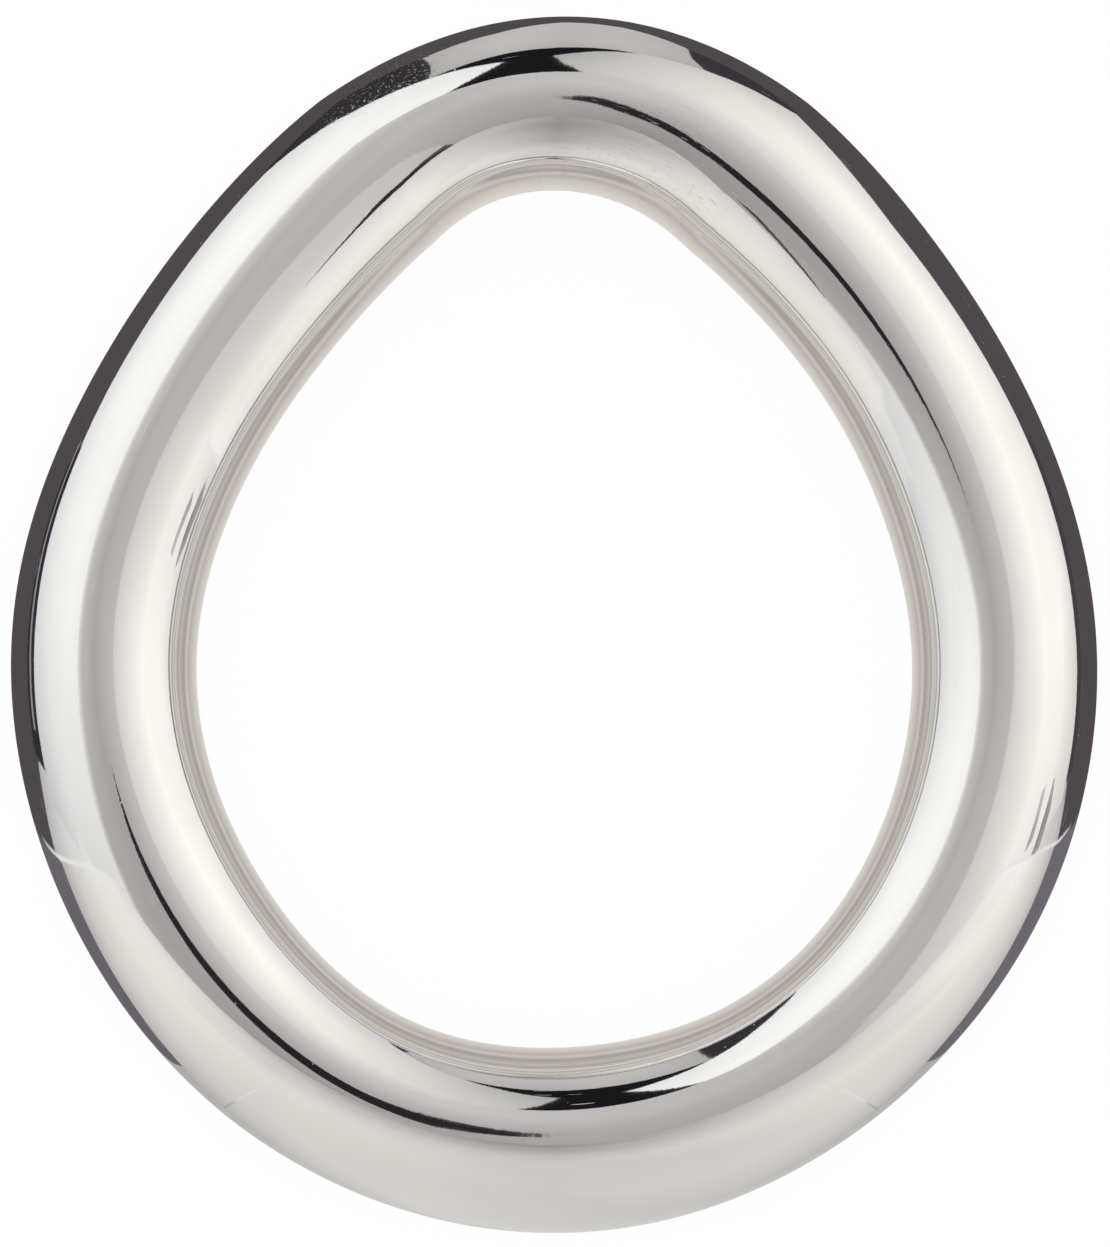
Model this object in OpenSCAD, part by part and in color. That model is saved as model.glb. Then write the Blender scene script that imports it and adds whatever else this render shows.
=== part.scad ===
// Egg-shaped closed ring of round bar, lying flat.
//
// +Z is the ring's own axis and +Y points to its narrow end. The origin is under the middle of
// the ring, on the surface that it lies on. The centre line of the bar is a chain of arcs that
// meet tangentially. It is described from the middle of the wide end round to the narrow end,
// and the other side mirrors it.

/* [Bar] */
// Diameter of the round bar
bar_d = 10; // [6:0.5:12]

/* [Wide end] */
// Radius of the centre line across the middle of the wide end
base_r = 23; // [21:0.5:26]
// How far the base arc turns on each side of the middle, in degrees
base_turn = 38; // [34:0.5:42]
// Radius of the centre line beside the base, where the wide end is at its flattest
haunch_r = 27.5; // [25:0.5:30]
// How far the haunch arc turns, in degrees
haunch_turn = 28.5; // [25:0.5:31]

/* [Sides] */
// Radius of the centre line round the widest part
shoulder_r = 25; // [23:0.5:27]
// How far the shoulder arc turns, in degrees
shoulder_turn = 38.5; // [36:0.5:41]
// Radius of the long flank that leans in towards the narrow end
flank_r = 41.4; // [39:0.1:44]
// How far the flank arc turns, in degrees
flank_turn = 36; // [33:0.5:38]

/* [Hidden] */

$fn = 96;

// The arcs of one side in order. The crown, at the narrow end, closes the chain on the centre
// plane, so its turn and its radius follow from the others.
side_radii = [base_r, haunch_r, shoulder_r, flank_r];
side_turns = [base_turn, haunch_turn, shoulder_turn, flank_turn];
crown = len(side_radii);
crown_turn = 180 - turned(crown);
crown_r = reach(crown) / sin(crown_turn);

radii = concat(side_radii, [crown_r]);
turns = concat(side_turns, [crown_turn]);

// Length of the centre line's outline, from the wide end to the narrow end
line_length = arc_centre(crown)[1] + crown_r;

// How far the chain has turned where arc i begins, in degrees
function turned(i) = i == 0 ? 0 : turned(i - 1) + side_turns[i - 1];

// How far the chain has come from the centre plane where arc i begins
function reach(i) = i == 0 ? 0
    : reach(i - 1) + side_radii[i - 1] * (sin(turned(i)) - sin(turned(i - 1)));

// Direction from an arc's centre to the point where the chain has turned by a
function outward(a) = [sin(a), -cos(a)];

// Centre of arc i, seen from the centre line's lowest point. Two tangent arcs share the normal
// at the point where they meet, so both centres lie on it.
function arc_centre(i) = i == 0 ? [0, base_r]
    : arc_centre(i - 1) + (radii[i - 1] - radii[i]) * outward(turned(i));

// Moves by v in two steps, thousandths first and then the small rest. Written out with six
// digits each, the two steps still add up exactly, so that neighbouring arcs meet face to face.
module shift(v) {
    coarse = [for (x = v) round(1000 * x) / 1000];
    translate(coarse)
        translate(v - coarse)
            children();
}

// A bent length of bar of centre line radius r, between two turns of the chain
module bend(centre, r, from, to) {
    shift(centre)
        rotate_extrude(angle = to - from, start = from - 90)
            shift([r, 0])
                circle(d = bar_d);
}

// The bends between the base and the crown, on the +X side
module side() {
    for (i = [1 : crown - 1])
        bend(arc_centre(i), radii[i], turned(i), turned(i + 1));
}

module ring() {
    color([0.80, 0.80, 0.79])
        shift([0, -line_length / 2, bar_d / 2]) {
            bend(arc_centre(0), base_r, -base_turn, base_turn);
            side();
            mirror([1, 0, 0])
                side();
            bend(arc_centre(crown), crown_r, 180 - crown_turn, 180 + crown_turn);
        }
}

ring();
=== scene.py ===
import math

import bmesh
import bpy
from mathutils import Matrix, Vector


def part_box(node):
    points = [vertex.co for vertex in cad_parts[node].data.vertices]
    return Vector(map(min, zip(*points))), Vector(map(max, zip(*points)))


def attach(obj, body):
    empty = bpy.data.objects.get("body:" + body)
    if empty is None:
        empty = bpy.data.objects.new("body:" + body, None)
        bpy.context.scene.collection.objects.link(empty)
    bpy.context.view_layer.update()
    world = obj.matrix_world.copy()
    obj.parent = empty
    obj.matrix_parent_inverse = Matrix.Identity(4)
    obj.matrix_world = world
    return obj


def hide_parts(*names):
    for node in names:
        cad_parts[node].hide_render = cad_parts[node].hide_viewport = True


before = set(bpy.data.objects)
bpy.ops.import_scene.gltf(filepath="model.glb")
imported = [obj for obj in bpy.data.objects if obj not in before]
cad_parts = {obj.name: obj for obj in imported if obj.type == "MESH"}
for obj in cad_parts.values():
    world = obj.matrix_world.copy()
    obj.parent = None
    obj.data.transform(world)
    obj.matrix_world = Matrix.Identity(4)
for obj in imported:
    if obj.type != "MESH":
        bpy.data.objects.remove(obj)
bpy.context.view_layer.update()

MM = 0.001

# ---------------------------------------------------------------------------------------
# Sizes. The bar and the ring's length come from the CAD box.
# ---------------------------------------------------------------------------------------
ring_low, ring_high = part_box("ring")
BAR = ring_high.z - ring_low.z
LENGTH = ring_high.y - ring_low.y
MIDDLE = Vector((0, 0, ring_low.z + BAR / 2))

# The centre line of one side, from the middle of the wide end to the narrow end, as tangent
# arcs: radius in millimetres and turn in degrees. The crown's radius closes the line.
SIDE_ARCS = [(23.0, 38.0), (27.5, 28.5), (25.0, 38.5), (41.4, 36.0)]

# A hand-bent bar blends its arcs over this length.
BLEND = 3 * MM
# Small departures of the real bend from the ideal line: waves round the ring, each with its
# count and its cosine and sine parts in millimetres, measured outwards.
STRAY = [(1, 0.08, -0.07), (2, 0.05, -0.03), (3, -0.03, 0.03), (4, 0.05, -0.02), (5, -0.08, -0.05)]
# The same for half the bar's thickness across, which the bending and polishing leave uneven.
UNEVEN = [(1, -0.06, -0.03), (2, -0.01, -0.04), (4, 0.05, -0.03), (5, 0.05, 0.05), (7, 0.03, 0.03)]
# Bending hard draws the bar a little thinner across: this share of what the bar's diameter
# divided by the bend's radius has above SLIM_FROM.
SLIM = 0.2
SLIM_FROM = 0.4
# The wide end's inner flank is polished a little flat: by this share of the bar's radius, from
# this many degrees off the top down to the opening. The power keeps it to the wide end's middle.
FLAT = 0.045
FLAT_FROM = 8
FLAT_POWER = 8

STEPS_ALONG = 720
STEPS_ROUND = 120
# The centre line is followed in finer steps than the mesh keeps: this many to one of its own.
FINE_STEPS = 8

# The camera looks down on the ring, almost square on.
ELEVATION = math.radians(82)
ROLL = math.radians(0.7)
DISTANCE = 0.6
AIM = MIDDLE + Vector((0.02, -0.15, 0)) * MM
PICTURE_HEIGHT = 67.8 * MM
# The width of the camera's sensor. Blender takes it and the lens in millimetres.
SENSOR = 36

# The studio's own axes: right, up and towards the camera.
TO_CAMERA = Vector((0, -math.cos(ELEVATION), math.sin(ELEVATION)))
STUDIO = (-TO_CAMERA).to_track_quat("-Z", "Y").to_matrix() @ Matrix.Rotation(ROLL, 3, "Z")


# ---------------------------------------------------------------------------------------
# The ring
# ---------------------------------------------------------------------------------------
def side_arcs():
    """All arcs of one side as (length, curvature) in metres, the crown's included."""
    arcs = [(radius, math.radians(turn)) for radius, turn in SIDE_ARCS]
    turned, reach = 0.0, 0.0
    for radius, turn in arcs:
        reach += radius * (math.sin(turned + turn) - math.sin(turned))
        turned += turn
    crown_turn = math.pi - turned
    arcs.append((reach / math.sin(crown_turn), crown_turn))
    return [(radius * turn * MM, 1 / (radius * MM)) for radius, turn in arcs]


def softened(values, reach):
    """The closed list, each value replaced by the mean of those up to reach places away."""
    count = len(values)
    total = sum(values[j % count] for j in range(-reach, reach + 1))
    means = []
    for i in range(count):
        means.append(total / (2 * reach + 1))
        total += values[(i + reach + 1) % count] - values[(i - reach) % count]
    return means


def centre_line():
    """The closed centre line from the wide end's middle, and its length.

    Each of its places is (x, y, heading, curvature).
    """
    arcs = side_arcs()
    half_length = sum(length for length, _ in arcs)
    ends = []
    for length, bend in arcs:
        ends.append((ends[-1][0] + length if ends else length, bend))

    count = STEPS_ALONG * FINE_STEPS
    step = 2 * half_length / count
    bends = []
    for i in range(count):
        along = min((i + 0.5) * step, 2 * half_length - (i + 0.5) * step)
        bends.append(next((bend for end, bend in ends if along <= end), arcs[-1][1]))
    for _ in range(2):
        bends = softened(bends, int(BLEND / step))

    x = y = heading = 0.0
    line = []
    for i, bend in enumerate(bends):
        if i % FINE_STEPS == 0:
            line.append((x, y, heading, bend))
        x += math.cos(heading + bend * step / 2) * step
        y += math.sin(heading + bend * step / 2) * step
        heading += bend * step
    return line, 2 * half_length


def waves(parts, turn):
    """The sum of these waves at this angle of the way round the ring."""
    return sum(c * math.cos(k * turn) + s * math.sin(k * turn) for k, c, s in parts) * MM


def flattened(turn, a):
    """How much of the bar's radius is left here: a is 90 degrees on top, 180 at the opening."""
    down = (math.degrees(a) - 90 - FLAT_FROM) / (90 - FLAT_FROM)
    if not 0 < down < 1:
        return 1
    here = max(0, math.cos(turn)) ** FLAT_POWER * (1 - math.cos(math.tau * down)) / 2
    return 1 - FLAT * here


def fitted(places):
    """The places moved and scaled evenly in x and y, so that they just fit the CAD box."""
    low_x, high_x = min(p.x for p in places), max(p.x for p in places)
    low_y, high_y = min(p.y for p in places), max(p.y for p in places)
    middle = Vector(((low_x + high_x) / 2, (low_y + high_y) / 2, MIDDLE.z))
    scale = min((ring_high.x - ring_low.x) / (high_x - low_x), LENGTH / (high_y - low_y))
    grow = Vector((scale, scale, 1))
    return [MIDDLE + (p - middle) * grow for p in places]


def ring_mesh():
    """The closed tube. Its map runs along the bar and round it, in millimetres."""
    line, around = centre_line()
    high = max(y for _, y, _, _ in line)
    low = min(y for _, y, _, _ in line)
    scale = (LENGTH - BAR) / (high - low)
    places = []
    for i, (x, y, heading, bend) in enumerate(line):
        turn = math.tau * i / len(line)
        outward = Vector((math.sin(heading), -math.cos(heading), 0))
        place = MIDDLE + Vector((x * scale, y * scale, 0)) + outward * waves(STRAY, turn)
        half_width = BAR / 2 * (1 - SLIM * max(0, bend * BAR - SLIM_FROM)) + waves(UNEVEN, turn)
        for j in range(STEPS_ROUND):
            a = math.tau * j / STEPS_ROUND
            reach = outward * half_width * math.cos(a) + Vector((0, 0, BAR / 2 * math.sin(a)))
            places.append(place + reach * flattened(turn, a))
    bm = bmesh.new()
    strip = bm.loops.layers.uv.new("strip")
    verts = [bm.verts.new(place) for place in fitted(places)]
    rows = [verts[i:i + STEPS_ROUND] for i in range(0, len(verts), STEPS_ROUND)]
    for i, row in enumerate(rows):
        after = rows[(i + 1) % len(rows)]
        for j in range(STEPS_ROUND):
            k = (j + 1) % STEPS_ROUND
            face = bm.faces.new((row[j], after[j], after[k], row[k]))
            face.smooth = True
            corners = [(i, j), (i + 1, j), (i + 1, j + 1), (i, j + 1)]
            for loop, (a, b) in zip(face.loops, corners):
                along_bar = a / len(rows) * around / MM
                loop[strip].uv = (along_bar, b / STEPS_ROUND * math.pi * BAR / MM)
    bm.normal_update()
    mesh = bpy.data.meshes.new("ring_bar")
    bm.to_mesh(mesh)
    bm.free()
    return mesh


def ring():
    """The polished ring, in the place of the CAD's."""
    piece = bpy.data.objects.new("polished_ring", ring_mesh())
    bpy.context.scene.collection.objects.link(piece)
    piece.data.materials.append(polished_steel())
    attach(piece, "root")
    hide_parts("ring")


# ---------------------------------------------------------------------------------------
# Polished steel. Its map runs along the bar and round it, in millimetres, so a scale on the
# map is in waves a millimetre.
# ---------------------------------------------------------------------------------------
# The film on the steel, from its darkest to its lightest, and the steel where it is worn.
DARK_FILM = (0.865, 0.86, 0.853, 1)
LIGHT_FILM = (0.895, 0.89, 0.882, 1)
WORN_STEEL = (0.50, 0.48, 0.46, 1)
# How much of the worn colour a polishing dash takes on, and how rough a full mark is.
DASH_COLOUR = 0.45
MARK_ROUGHNESS = 0.36
# The height of the fine ripple that polishing leaves.
RIPPLE = 0.002 * MM
# Fineness: waves a metre of the film and the ripple, and cells a metre that may hold a pit.
FILM_SCALE = 160.0
RIPPLE_SCALE = 1100.0
PIT_SCALE = 1900.0
# The roughness that the film gives, from its thinnest to its thickest.
HAZE_LOW, HAZE_HIGH = 0.02, 0.07
# Where the marks are, with their reach in millimetres: inside the crown, and outside its left
# shoulder.
DASHES_AT, DASHES_REACH = (4, 23, 7), 8.0
SCUFF_AT, SCUFF_REACH = (-11, 30.5, 6.5), 6.5


class Nodes:
    """Short ways to add and join a material's nodes."""

    def __init__(self, material):
        material.use_nodes = True
        self.tree = material.node_tree

    def add(self, kind, values=(), **settings):
        node = self.tree.nodes.new(kind)
        for name, value in settings.items():
            setattr(node, name, value)
        for name, value in dict(values).items():
            if isinstance(value, bpy.types.NodeSocket):
                self.tree.links.new(value, node.inputs[name])
            else:
                node.inputs[name].default_value = value
        return node

    def join(self, out, socket):
        self.tree.links.new(out, socket)

    def noise(self, vector, scale, detail):
        node = self.add("ShaderNodeTexNoise", {"Vector": vector, "Scale": scale, "Detail": detail})
        return node.outputs["Fac"]

    def stretched(self, vector, scale):
        node = self.add("ShaderNodeMapping", {"Vector": vector, "Scale": scale})
        return node.outputs["Vector"]

    def between(self, value, low, high):
        """0 at low, 1 at high, smooth in between and level beyond; high may be the smaller."""
        values = {"Value": value, "From Min": low, "From Max": high}
        node = self.add("ShaderNodeMapRange", values, interpolation_type="SMOOTHSTEP")
        return node.outputs["Result"]

    def math(self, operation, a, b):
        node = self.add("ShaderNodeMath", {0: a, 1: b}, operation=operation)
        return node.outputs["Value"]


def near(nodes, place, spot, reach):
    """1 within half the reach of this spot, falling to 0 at the reach; millimetres."""
    values = {0: place, 1: Vector(spot) * MM}
    gap = nodes.add("ShaderNodeVectorMath", values, operation="DISTANCE").outputs["Value"]
    return nodes.between(gap, reach * MM, reach * MM / 2)


def polishing_dashes(nodes, strip, place):
    """Short fine lines along the bar inside the crown, where a buffing wheel hardly reaches."""
    line = nodes.noise(nodes.stretched(strip, (1.1, 11.0, 1.0)), 1.0, 3.0)
    marks = nodes.between(line, 0.59, 0.68)
    return nodes.math("MULTIPLY", marks, near(nodes, place, DASHES_AT, DASHES_REACH))


def scuffs(nodes, strip, place):
    """A crumbly patch outside the crown's left shoulder, and rare scratches along the bar."""
    grain = nodes.noise(nodes.stretched(strip, (5.0, 9.0, 1.0)), 1.0, 2.0)
    shoulder = near(nodes, place, SCUFF_AT, SCUFF_REACH)
    patch = nodes.math("MULTIPLY", nodes.between(grain, 0.57, 0.66), shoulder)
    line = nodes.noise(nodes.stretched(strip, (0.35, 14.0, 1.0)), 1.0, 1.0)
    return nodes.math("MAXIMUM", patch, nodes.between(line, 0.735, 0.76))


def pits(nodes, place):
    """Rough specks, one in each of about an eighth of the cells."""
    cells = nodes.add("ShaderNodeTexVoronoi", {"Vector": place, "Scale": PIT_SCALE})
    spot = nodes.between(cells.outputs["Distance"], 0.14, 0.07)
    colour = nodes.add("ShaderNodeSeparateColor", {"Color": cells.outputs["Color"]})
    return nodes.math("MULTIPLY", spot, nodes.between(colour.outputs["Red"], 0.86, 0.90))


def film_colour(nodes, film):
    """The steel's colour under the film, which is uneven."""
    tint = nodes.add("ShaderNodeValToRGB", {"Fac": film})
    dark, light = tint.color_ramp.elements
    dark.position, dark.color = 0.35, DARK_FILM
    light.position, light.color = 0.65, LIGHT_FILM
    return tint.outputs["Color"]


def worn(nodes, colour, amount):
    """The colour, turned to that of worn steel by this amount."""
    mix = nodes.add("ShaderNodeMix", {"Factor": amount}, data_type="RGBA")
    clean_socket, worn_socket = [socket for socket in mix.inputs if socket.type == "RGBA"]
    nodes.join(colour, clean_socket)
    worn_socket.default_value = WORN_STEEL
    return next(socket for socket in mix.outputs if socket.type == "RGBA")


def polished_steel():
    """Bright steel: a little colour and haze from the film, marks, and a fine ripple."""
    material = bpy.data.materials.new("polished_steel")
    nodes = Nodes(material)
    shader = nodes.tree.nodes["Principled BSDF"]
    shader.inputs["Metallic"].default_value = 1
    strip = nodes.add("ShaderNodeUVMap", uv_map="strip").outputs["UV"]
    place = nodes.add("ShaderNodeTexCoord").outputs["Object"]

    dashes = polishing_dashes(nodes, strip, place)
    film = nodes.noise(place, FILM_SCALE, 4.0)
    amount = nodes.math("MULTIPLY", dashes, DASH_COLOUR)
    colour = worn(nodes, film_colour(nodes, film), amount)
    nodes.join(colour, shader.inputs["Base Color"])

    values = {"Value": film, "To Min": HAZE_LOW, "To Max": HAZE_HIGH}
    haze = nodes.add("ShaderNodeMapRange", values)
    marks = nodes.math("MAXIMUM", scuffs(nodes, strip, place), pits(nodes, place))
    marks = nodes.math("MULTIPLY", nodes.math("MAXIMUM", marks, dashes), MARK_ROUGHNESS)
    rough = nodes.math("MAXIMUM", haze.outputs["Result"], marks)
    nodes.join(rough, shader.inputs["Roughness"])

    ripple = nodes.noise(place, RIPPLE_SCALE, 2.0)
    values = {"Height": ripple, "Strength": 1.0, "Distance": RIPPLE}
    bump = nodes.add("ShaderNodeBump", values)
    nodes.join(bump.outputs["Normal"], shader.inputs["Normal"])
    return material


# ---------------------------------------------------------------------------------------
# The studio: what the polished bar mirrors. Each card is a net of points in rows. A point
# of a far card is degrees to the right and degrees up of the camera's direction, as the ring
# sees it; a near card's point is in millimetres on the studio's axes, from the ring's middle.
# The last number of each point is its brightness, as the picture shows it in the steel.
# ---------------------------------------------------------------------------------------
# The tints of the cards.
NEUTRAL = (1.0, 1.0, 1.0)
WARM = (1.0, 0.98, 0.94)
GREY = (1.0, 0.96, 0.95)
DARK = (1.0, 0.9, 1.05)
BEIGE = (1.0, 0.95, 0.87)
# What the room round the studio shines, and its radius in metres.
ROOM_LIGHT = (0.085, 0.073, 0.081, 1)
ROOM_RADIUS = 3
# A shown brightness, raised to this power and divided by the share of light that the steel
# gives back, is the light that the card sends out.
DISPLAY_POWER = 2.2
STEEL_TONE = 0.88


def towards(right, up):
    """The direction this many degrees to the right and up of the camera's direction."""
    off = math.radians(math.hypot(right, up))
    if off == 0:
        return Vector((0, 0, 1))
    spread = math.sin(off) / math.hypot(right, up)
    return Vector((right * spread, up * spread, math.cos(off)))


def glow(name):
    """A material that only shines, with the brightness held by the card's points."""
    material = bpy.data.materials.new(name)
    material.use_nodes = True
    nodes, links = material.node_tree.nodes, material.node_tree.links
    nodes.clear()
    light = nodes.new("ShaderNodeEmission")
    tone = nodes.new("ShaderNodeAttribute")
    tone.attribute_name = "tone"
    out = nodes.new("ShaderNodeOutputMaterial")
    links.new(tone.outputs["Color"], light.inputs["Color"])
    links.new(light.outputs["Emission"], out.inputs["Surface"])
    material.cycles.emission_sampling = "NONE"
    return material


def only_mirrored(name, bm):
    """The finished mesh as an object that shines, seen in the ring and nowhere else."""
    mesh = bpy.data.meshes.new(name)
    bm.to_mesh(mesh)
    bm.free()
    mesh.materials.append(glow(name))
    obj = bpy.data.objects.new(name, mesh)
    bpy.context.scene.collection.objects.link(obj)
    obj.visible_camera = False
    obj.visible_diffuse = False
    obj.visible_shadow = False
    obj.visible_transmission = False
    obj.visible_volume_scatter = False


def card(name, rows, tint, distance=None):
    """A card from its net: far when it has a distance, or else near."""
    bm = bmesh.new()
    shine = bm.verts.layers.float_color.new("tone")
    net = []
    for row in rows:
        line = []
        for point in row:
            place = towards(*point[:2]) * distance if distance else Vector(point[:3]) * MM
            vert = bm.verts.new(MIDDLE + STUDIO @ place)
            light = point[-1] ** DISPLAY_POWER / STEEL_TONE
            vert[shine] = (light * tint[0], light * tint[1], light * tint[2], 1)
            line.append(vert)
        net.append(line)
    for lower, upper in zip(net, net[1:]):
        for i in range(len(lower) - 1):
            bm.faces.new((lower[i], lower[i + 1], upper[i + 1]))
            bm.faces.new((lower[i], upper[i + 1], upper[i]))
    only_mirrored(name, bm)


def plain(name, rows, tone, distance=None):
    """A dark-tinted card of one brightness, from a net that leaves the brightness out."""
    card(name, [[point + (tone,) for point in row] for row in rows], DARK, distance)


def left_softbox():
    """The softbox on the left, brightest in its middle."""
    rows = [
        [(-93, -16, 0.75), (-68, -16, 0.84), (-42, -16, 0.81), (-8, -16, 0.85)],
        [(-94, 20, 0.84), (-68, 20, 0.93), (-42, 18, 0.96), (-9, 15, 0.90)],
        [(-87, 50, 0.88), (-62, 50, 0.96), (-38, 48, 0.99), (-10, 45, 0.95)],
        [(-69, 80, 0.86), (-50, 76, 0.90), (-30, 72, 0.93), (-9, 64, 0.89)],
    ]
    card("left_softbox", rows, NEUTRAL, 0.9)


def right_softbox():
    """The softbox on the right, which fades towards the camera and upwards."""
    rows = [
        [(2, -16, 0.58), (25, -16, 0.74), (50, -16, 0.92), (75, -16, 0.91), (99, -16, 0.82)],
        [(3, 12, 0.74), (25, 15, 0.88), (50, 16, 0.99), (75, 17, 0.98), (98, 18, 0.84)],
        [(2, 44, 0.76), (22, 46, 0.93), (44, 48, 1.00), (66, 48, 0.95), (91, 44, 0.90)],
        [(0, 58, 0.70), (17, 65, 0.82), (34, 67, 0.90), (52, 67, 0.90), (66, 66, 0.89)],
        [(-1, 66, 0.67), (8, 76, 0.70), (16, 81, 0.75), (36, 86, 0.80), (62, 89, 0.80)],
    ]
    card("right_softbox", rows, WARM, 0.9)


def camera_side():
    """The grey surroundings of the camera, between the two softboxes."""
    rows = [
        [(-38, -45, 0.69), (-36, -45, 0.65), (-23, -45, 0.61), (-10, -45, 0.60), (25, -45, 0.63)],
        [(-40, -20, 0.78), (-37, -20, 0.65), (-26, -20, 0.58), (-15, -20, 0.56), (20, -20, 0.64)],
        [(-38.5, 0, 0.85), (-35, 0, 0.67), (-25, 0, 0.63), (-15, 0, 0.61), (15, 0, 0.69)],
        [(-33, 12, 0.88), (-28, 12, 0.72), (-20, 12, 0.68), (-12, 12, 0.64), (12, 12, 0.72)],
        [(-26, 28, 0.91), (-22, 28, 0.78), (-16, 28, 0.74), (-10, 28, 0.71), (10, 28, 0.80)],
        [(-22, 40, 0.89), (-18, 41, 0.82), (-14, 41, 0.76), (-10, 42, 0.74), (3, 42, 0.76)],
    ]
    card("camera_side", rows, GREY, 0.7)


def camera_lens():
    """The camera's dark outline, nearest the ring on its left and furthest on its right."""
    lower = [(-48, 54, 250), (-59, 44, 250), (-67, 32, 250), (-65, 14, 250), (-57, 2, 250)]
    lower += [(-59, -6, 330), (-58, -16, 450), (-50, -20, 650), (-23, 20, 650), (-2, 42, 650)]
    upper = [(-45, 55, 250), (-46, 48, 250), (-43, 43, 250), (-40, 36, 250), (-34, 32, 250)]
    upper += [(-31, 42, 330), (-30, 55, 450), (-24, 96, 650), (-9, 126, 650), (0, 84, 650)]
    plain("camera_lens", [lower, upper], 0.16)


def overhead():
    """The card over the narrow end, and the dark gaps beside and below it."""
    rows = [
        [(-24, 70, 0.67), (-10, 77, 0.71), (0, 79, 0.68), (16, 81, 0.72), (33, 86, 0.69)],
        [(-31, 90, 0.69), (-15, 94, 0.75), (0, 96, 0.73), (15, 96, 0.74), (34, 98, 0.70)],
        [(-40, 108, 0.69), (-20, 120, 0.73), (0, 134, 0.73), (20, 130, 0.72), (38, 114, 0.69)],
    ]
    card("overhead_card", rows, WARM, 0.8)
    plain("gap", [[(-18, 36), (6, 36)], [(-15, 62), (0, 62)], [(-40, 74), (30, 84)]], 0.12, 1.0)
    plain("left_corner", [[(-72, 78), (-20, 68)], [(-62, 102), (-38, 110)]], 0.21, 0.95)
    plain("right_corner", [[(30, 82), (64, 88)], [(36, 114), (57, 102)]], 0.23, 0.95)


def softbox_frames():
    """The black edges of the softboxes, with a paler rail along the left one's."""
    edge = [[(-106, -10), (-93, -10)], [(-106, 20), (-93, 20)], [(-98, 48), (-86, 48)]]
    plain("left_frame", edge, 0.2, 0.85)
    rail = [[(-102, -4), (-99, -4)], [(-102, 20), (-99, 20)], [(-93, 50), (-91, 50)]]
    plain("left_rail", rail, 0.56, 0.82)
    edge = [[(99, -12), (106, -12)], [(98, 20), (106, 20)], [(90, 46), (97, 50)]]
    plain("right_frame", edge, 0.26, 0.85)


def walls():
    """The light walls below the softboxes, and two posts in front of the right one."""
    rows = [
        [(-114, -36, 0.70), (-100, -32, 0.77), (-84, -36, 0.84), (-52, -30, 0.86)],
        [(-107, -20, 0.68), (-98, -18, 0.75), (-84, -12, 0.82), (-52, -8, 0.90)],
        [(-103, -11, 0.68), (-96, -8, 0.75), (-84, 0, 0.80), (-52, 0, 0.90)],
    ]
    card("left_wall", rows, NEUTRAL, 0.93)
    rows = [
        [(62, -30, 0.90), (84, -36, 0.84), (100, -32, 0.80), (114, -38, 0.76)],
        [(62, -8, 0.92), (84, -12, 0.84), (97, -16, 0.76), (107, -22, 0.70)],
        [(62, 0, 0.94), (84, 0, 0.84), (94, -6, 0.72), (98, -8, 0.62)],
    ]
    card("right_wall", rows, WARM, 0.93)
    rows = [[(66, -13, 0.58), (71, -13, 0.66)], [(66.5, -4, 0.70), (70, -4, 0.78)]]
    card("thin_post", rows, WARM, 0.8)
    rows = [
        [(75.5, -20, 0.56), (83.5, -20, 0.64)],
        [(77, -12, 0.50), (83.5, -12, 0.60)],
        [(78.5, -6, 0.60), (80.5, -6, 0.70)],
    ]
    card("thick_post", rows, WARM, 0.79)


# The sheet under the wide end, in millimetres: how high it lies, and how far back it ends.
TABLE_LEVEL = -35
TABLE_BACK = -300
# Its rear has a light middle: half its width where it starts, where that is, and at the back.
REAR_HALF = 32
REAR_FROM = -9
REAR_HALF_BACK = 45
# The shade beside the light middle starts at its sides and draws this much wider to the back.
SHADE_SPREAD = 1.4
# The light line along each of the sheet's edges: its height and its tone.
EDGE_HEIGHT = 1.2
EDGE_TONE = 0.89


def table():
    """The pale sheet under the wide end. It returns its left and right edges."""
    # Each row: how far in front of the ring, its left and right ends, and its tones.
    lights = [
        (150, -160, 171, 0.87, 0.80, 0.68, 0.61, 0.73, 0.84, 0.93),
        (90, -135, 148, 0.91, 0.86, 0.68, 0.56, 0.75, 0.89, 0.96),
        (40, -117, 125, 0.89, 0.89, 0.79, 0.66, 0.81, 0.93, 0.95),
        (22, -109, 119, 0.86, 0.88, 0.86, 0.78, 0.87, 0.91, 0.92),
        (10, -102, 115, 0.79, 0.82, 0.82, 0.80, 0.83, 0.84, 0.82),
        (0, -99, 112, 0.68, 0.70, 0.70, 0.81, 0.70, 0.71, 0.69),
    ]
    rows = []
    for depth, left, right, *tones in lights:
        places = (left, left / 2, left / 5, 0, right / 5, right / 2, right)
        row = [(x, TABLE_LEVEL, depth - set_back(x, depth), tone) for x, tone in zip(places, tones)]
        rows.append(row)
    card("table", rows, WARM)
    return [row[0] for row in rows], [row[-1] for row in rows]


def set_back(x, depth):
    """How far a point of the sheet lies behind its row."""
    # The front edge has a shallow bay on the right, and the two rear rows bend back outwards.
    bay = 13 if depth == 150 and 30 < x < 110 else 0
    slant = {0: 0.3, 10: 0.15}.get(depth, 0)
    return bay + slant * abs(x)


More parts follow.
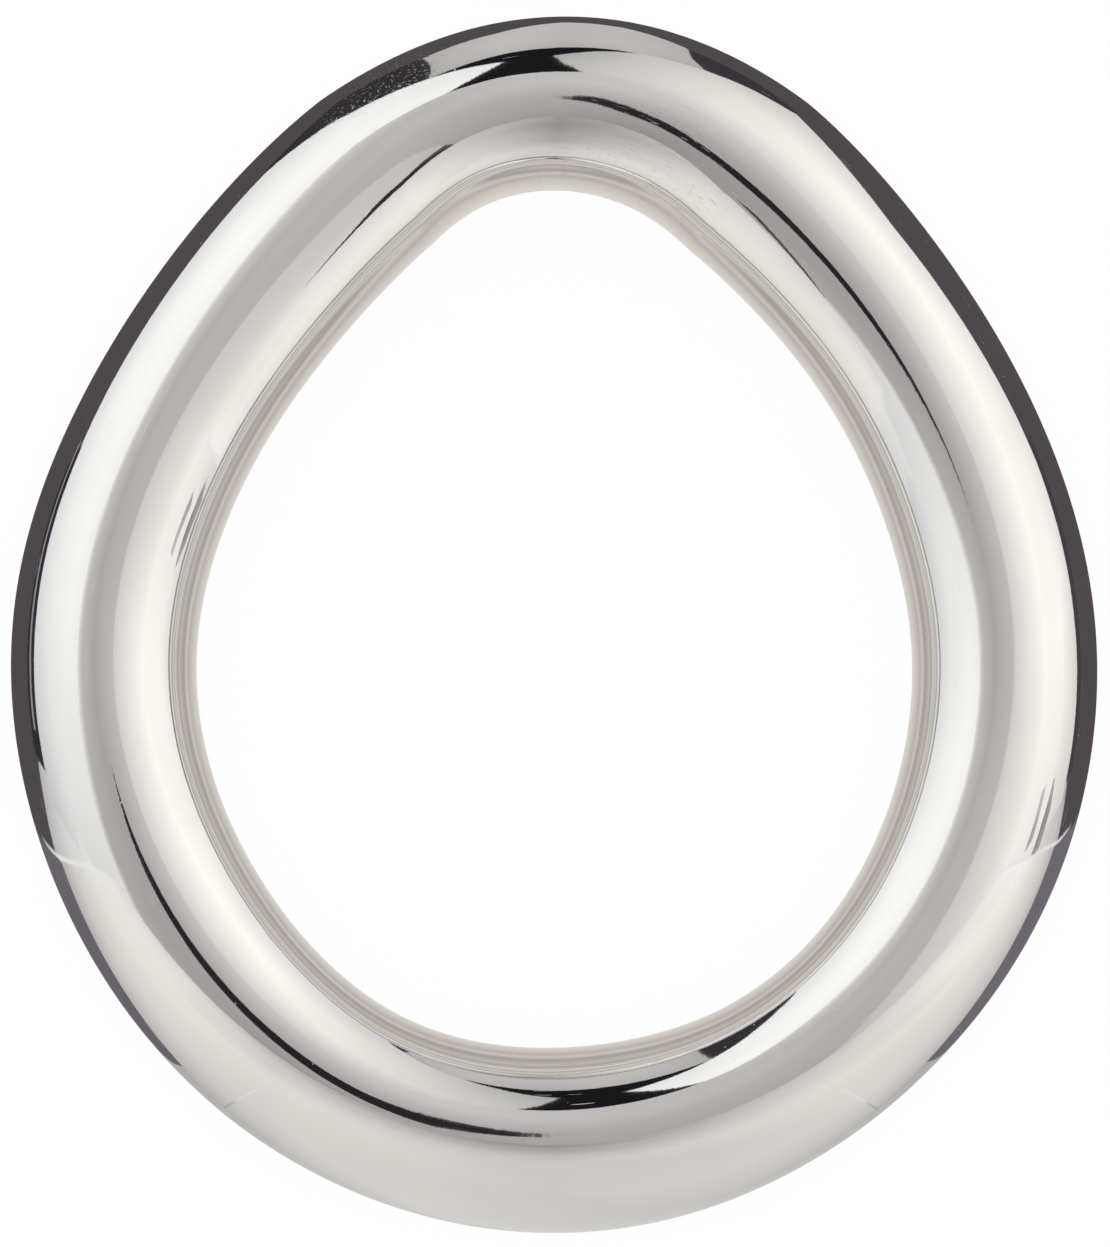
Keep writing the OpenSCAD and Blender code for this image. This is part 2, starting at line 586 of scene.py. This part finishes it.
def table_rear(left_edge, right_edge):
    """The sheet's rear: light in the middle, in shade on both sides, and light at the edges."""
    front_row = [(-REAR_HALF, REAR_FROM, 0.66), (0, 1, 0.81), (REAR_HALF, REAR_FROM, 0.66)]
    back_row = [(x, TABLE_BACK, tone)
                for x, tone in ((-REAR_HALF_BACK, 0.64), (0, 0.80), (REAR_HALF_BACK, 0.64))]
    rows = [[(x, TABLE_LEVEL, z, tone) for x, z, tone in row] for row in (front_row, back_row)]
    card("table_middle", rows, WARM)
    for name, edge, tone in (("left_shade", left_edge, 0.40), ("right_shade", right_edge, 0.42)):
        outer, _, front, _ = edge[-1]
        inner = math.copysign(REAR_HALF, outer)
        back_row = [(1.1 * outer, TABLE_BACK), (SHADE_SPREAD * inner, TABLE_BACK)]
        front_row = [(outer, front), (inner, REAR_FROM)]
        rows = [[(x, TABLE_LEVEL, z, tone) for x, z in row] for row in (back_row, front_row)]
        card(name, rows, DARK)
        line = [(x, z, EDGE_TONE) for x, _, z, _ in edge] + [(1.05 * outer, -110, 0.5)]
        heights = (TABLE_LEVEL, TABLE_LEVEL + EDGE_HEIGHT)
        strip = [[(x, y, z, light) for x, z, light in line] for y in heights]
        card(name + "_edge", strip, NEUTRAL)


def hairlines():
    """Two thin lines just above the sheet, one on each side."""
    # Each row: how far in front of the ring, its width and its tone.
    line = ((-8, 0.24, 0.62), (1, 0.20, 0.68), (4, 0.26, 0.84), (14, 0.16, 0.88))
    height = TABLE_LEVEL + 0.2
    for name, middle in (("left_hairline", -25.2), ("right_hairline", 24.5)):
        rows = []
        for z, wide, tone in line:
            rows.append([(middle + side * wide, height, z, tone) for side in (-0.5, 0.5)])
        card(name, rows, NEUTRAL)


def feet():
    """The dark feet of the softboxes, in front of the sheet's corners."""
    front = 300
    lower = [(100, -124), (127, -125), (193, -104), (241, -112), (330, -130)]
    upper = [(108, -116), (119, -100), (170, -74), (234, -99), (330, -128)]
    plain("right_foot", [[(x, y, front) for x, y in row] for row in (lower, upper)], 0.18)
    lower = [(-258, -98), (-158, -72)]
    upper = [(-258, -92), (-158, -60)]
    plain("left_foot", [[(x, y, front) for x, y in row] for row in (lower, upper)], 0.22)


def behind_opening():
    """The beige sheet behind the opening: it lies on the floor, inside the bar's centre line."""
    line, _ = centre_line()
    high = max(y for _, y, _, _ in line)
    just_above_floor = -0.49 * BAR
    every = STEPS_ALONG // 36
    # Each ring: how much of the way out from the middle, and its tone.
    rings = ((0, 0.73), (0.15, 0.68), (0.30, 0.63), (0.42, 0.78), (0.52, 0.70), (0.62, 0.77),
             (0.80, 0.84), (0.90, 0.76), (0.97, 0.58))
    rows = []
    for share, tone in rings:
        row = []
        for x, y, _, _ in line[::every] + line[:1]:
            place = Vector((x * share, (y - high / 2) * share, just_above_floor))
            row.append(tuple(STUDIO.transposed() @ place / MM) + (tone,))
        rows.append(row)
    card("behind_opening", rows, BEIGE)


def surroundings():
    """A dark grey room round the studio."""
    bm = bmesh.new()
    shine = bm.verts.layers.float_color.new("tone")
    bmesh.ops.create_icosphere(bm, subdivisions=4, radius=ROOM_RADIUS)
    for vert in bm.verts:
        vert[shine] = ROOM_LIGHT
    only_mirrored("room", bm)


# ---------------------------------------------------------------------------------------
# Floor, light and camera
# ---------------------------------------------------------------------------------------
# The floor's width in metres, the light that it scatters and the light of its own.
FLOOR_WIDTH = 6
FLOOR_COLOUR = (0.06, 0.06, 0.06, 1)
FLOOR_SHINE = 0.95


def floor():
    """A white floor. Nearly all its light is its own, so the ring's shadow on it is faint."""
    bpy.ops.mesh.primitive_plane_add(size=FLOOR_WIDTH, location=(0, 0, ring_low.z))
    plane = bpy.context.object
    plane.name = "floor"
    material = bpy.data.materials.new("floor")
    material.use_nodes = True
    shader = material.node_tree.nodes["Principled BSDF"]
    shader.inputs["Base Color"].default_value = FLOOR_COLOUR
    shader.inputs["Roughness"].default_value = 1
    shader.inputs["Specular IOR Level"].default_value = 0
    shader.inputs["Emission Color"].default_value = (1, 1, 1, 1)
    shader.inputs["Emission Strength"].default_value = FLOOR_SHINE
    plane.data.materials.append(material)
    plane.visible_glossy = False


def sky():
    """White light from all round, and colours shown as they are."""
    world = bpy.data.worlds.new("studio")
    bpy.context.scene.world = world
    world.use_nodes = True
    world.node_tree.nodes["Background"].inputs["Color"].default_value = (1, 1, 1, 1)
    bpy.context.scene.view_settings.view_transform = "Standard"


def camera():
    """The camera, with a lens that takes in PICTURE_HEIGHT at the ring.

    The picture is taller than wide, so the sensor's width spans the picture's height.
    """
    data = bpy.data.cameras.new("camera")
    cam = bpy.data.objects.new("camera", data)
    bpy.context.scene.collection.objects.link(cam)
    bpy.context.scene.camera = cam
    cam.matrix_world = Matrix.Translation(AIM + TO_CAMERA * DISTANCE) @ STUDIO.to_4x4()
    data.sensor_width = SENSOR
    data.lens = SENSOR * DISTANCE / PICTURE_HEIGHT
    data.clip_start = 0.01
    data.clip_end = 10


camera()
ring()
left_softbox()
right_softbox()
camera_side()
camera_lens()
overhead()
softbox_frames()
walls()
table_rear(*table())
hairlines()
feet()
behind_opening()
surroundings()
floor()
sky()
